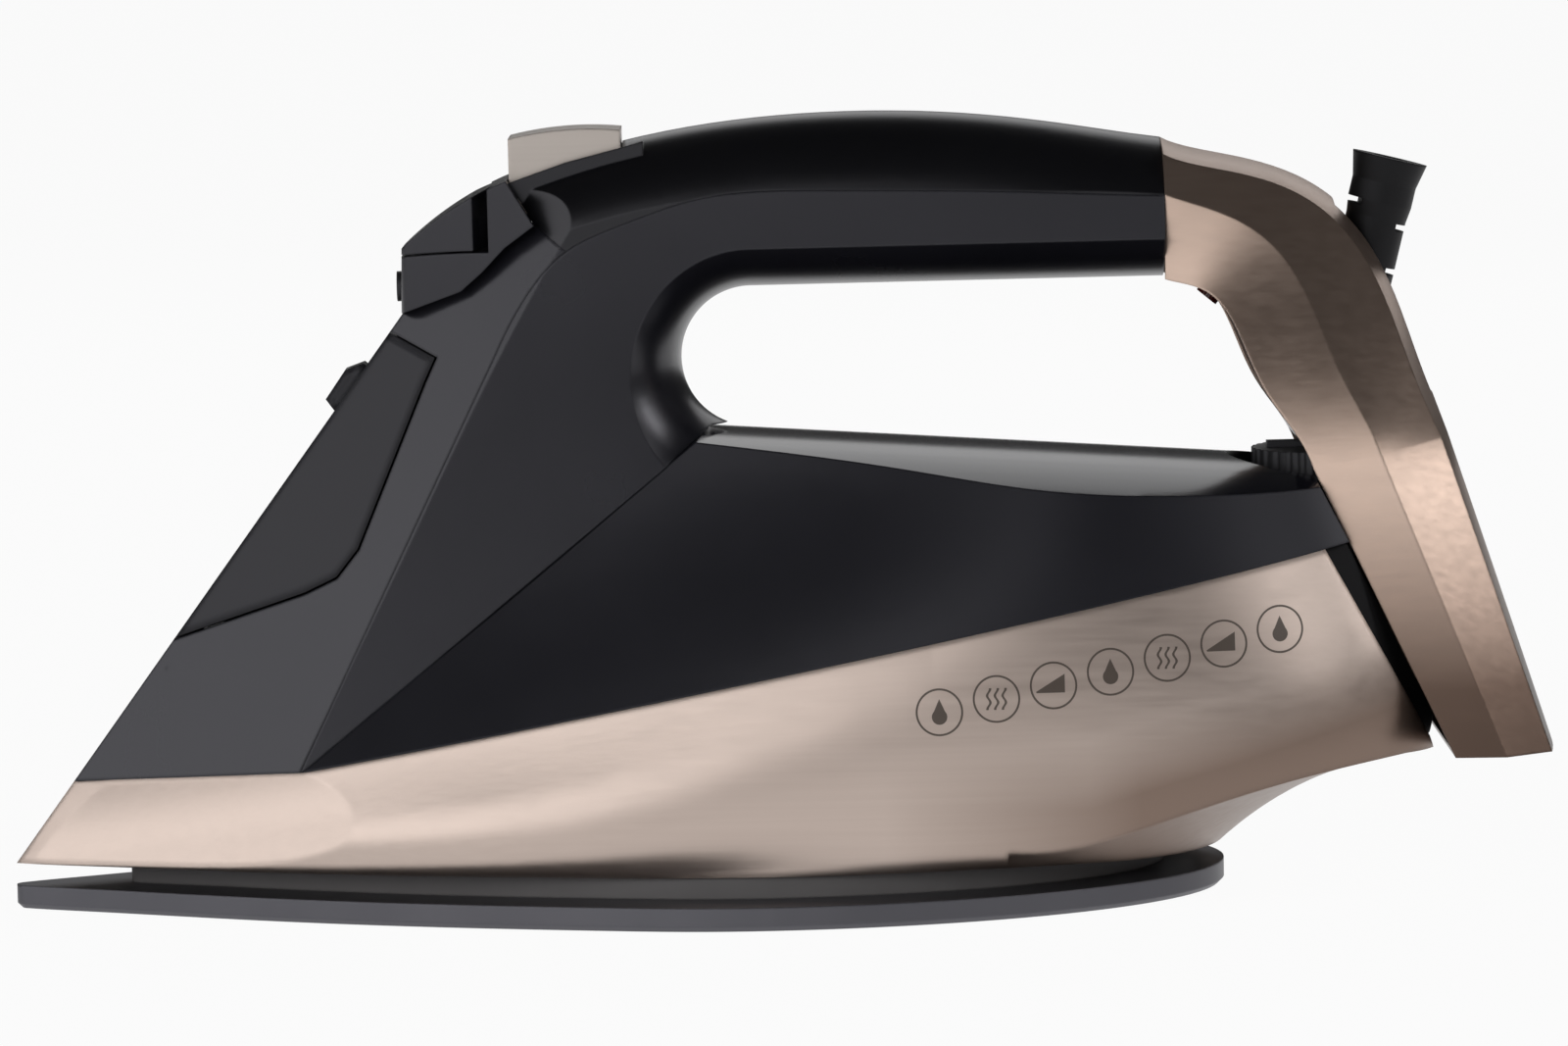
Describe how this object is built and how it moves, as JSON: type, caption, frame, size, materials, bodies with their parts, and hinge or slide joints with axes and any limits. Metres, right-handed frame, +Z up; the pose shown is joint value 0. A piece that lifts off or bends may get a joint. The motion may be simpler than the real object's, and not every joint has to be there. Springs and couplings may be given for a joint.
{
  "type": "steam iron",
  "caption": "Corded household steam iron with a pointed sole, filler door in the nose, thumb buttons, steam lever, temperature dial and swivelling cord boot.",
  "frame": {"origin": "centre of the bounding box at the height of the sole's working face", "axes": "+X from the tip to the heel, +Y to the right hand of a user who looks along the tip, +Z up from the sole"},
  "size_m": [0.306, 0.118, 0.1551],
  "materials": {
    "champagne": "metallic brushed lacquer",
    "gloss_black": "gloss",
    "smoke_door": "gloss, smoke tint",
    "dark_plastic": "satin",
    "heat_plastic": "matte, heat resistant",
    "clear_tank": "clear moulding",
    "lens_glass": "polished, red tint",
    "boot_rubber": "matte",
    "sole_metal": "satin grey",
    "cast_aluminium": "as cast",
    "steel": "plain"
  },
  "bodies": {
    "iron": {"skirt": "champagne", "lower_housing": "gloss_black", "rear_frame": "gloss_black", "spray_head": "gloss_black", "spray_nozzle": "dark_plastic", "handle_cover": "gloss_black", "column_housing": "gloss_black", "nose_panel": "gloss_black", "door_hinge_pin": "steel", "filler_funnel": "dark_plastic", "rear_cover": "champagne", "trunnion_bracket": "dark_plastic", "grip_liner": "gloss_black", "pilot_lens": "lens_glass", "dial_carrier": "dark_plastic", "soleplate": "sole_metal", "heater_casting": "cast_aluminium", "heating_element": "steel", "steam_chamber_cover": "cast_aluminium", "drip_seal": "boot_rubber", "heat_guard": "heat_plastic", "water_tank": "clear_tank", "burst_pump": "dark_plastic", "spray_pump": "dark_plastic", "pump_shelf": "dark_plastic", "burst_spring": "steel", "spray_spring": "steel", "thermostat": "steel", "thermal_fuse": "steel", "terminal_block": "dark_plastic", "sole_screws": "steel"},
    "door": {"filler_door": "smoke_door"},
    "lever": {"steam_lever": "gloss_black"},
    "valve": {"valve_rod": "steel"},
    "burst": {"burst_button": "champagne"},
    "spray": {"spray_button": "champagne"},
    "dial": {"temperature_dial": "dark_plastic", "dial_gear": "dark_plastic"},
    "thermostat_shaft": {"thermostat_gear": "dark_plastic", "thermostat_spindle": "steel"},
    "cord_swivel": {"cord_boot": "boot_rubber", "cord_trunnion": "dark_plastic"}
  },
  "joints": [
    {"name": "door_hinge", "type": "hinge", "parent": "iron", "child": "door", "pos_m": [-0.1208, 0, 0.0474], "axis": [0, -1, 0], "range_deg": [0, 65]},
    {"name": "lever_turn", "type": "hinge", "parent": "iron", "child": "lever", "pos_m": [-0.05, 0, 0.127], "axis": [0, 0, 1], "range_deg": [-10, 10]},
    {"name": "valve_lift", "type": "slide", "parent": "iron", "child": "valve", "axis": [0, 0, 1], "range_m": [-0.00125, 0.00125]},
    {"name": "burst_press", "type": "slide", "parent": "iron", "child": "burst", "axis": [0, 0, -1], "range_m": [0, 0.004], "stiffness_N_per_m": 300, "springref_m": -0.002, "deforming": ["burst_spring"]},
    {"name": "spray_press", "type": "slide", "parent": "iron", "child": "spray", "axis": [0, 0, -1], "range_m": [0, 0.004], "stiffness_N_per_m": 300, "springref_m": -0.002, "deforming": ["spray_spring"]},
    {"name": "dial_turn", "type": "hinge", "parent": "iron", "child": "dial", "pos_m": [0.1134, 0, 0.08], "axis": [0, 0, 1], "range_deg": [0, 270]},
    {"name": "thermostat_turn", "type": "hinge", "parent": "iron", "child": "thermostat_shaft", "pos_m": [0.0734, 0, 0.06], "axis": [0, 0, 1], "range_deg": [-271, 1]},
    {"name": "cord_swing", "type": "hinge", "parent": "iron", "child": "cord_swivel", "pos_m": [0.115, 0, 0.108], "axis": [0, 1, 0], "range_deg": [0, 70]}
  ],
  "couplings": [
    {"joint": "valve_lift", "follows": "lever_turn", "m_per_rad": 0.0068},
    {"joint": "thermostat_turn", "follows": "dial_turn", "ratio": -1}
  ]
}
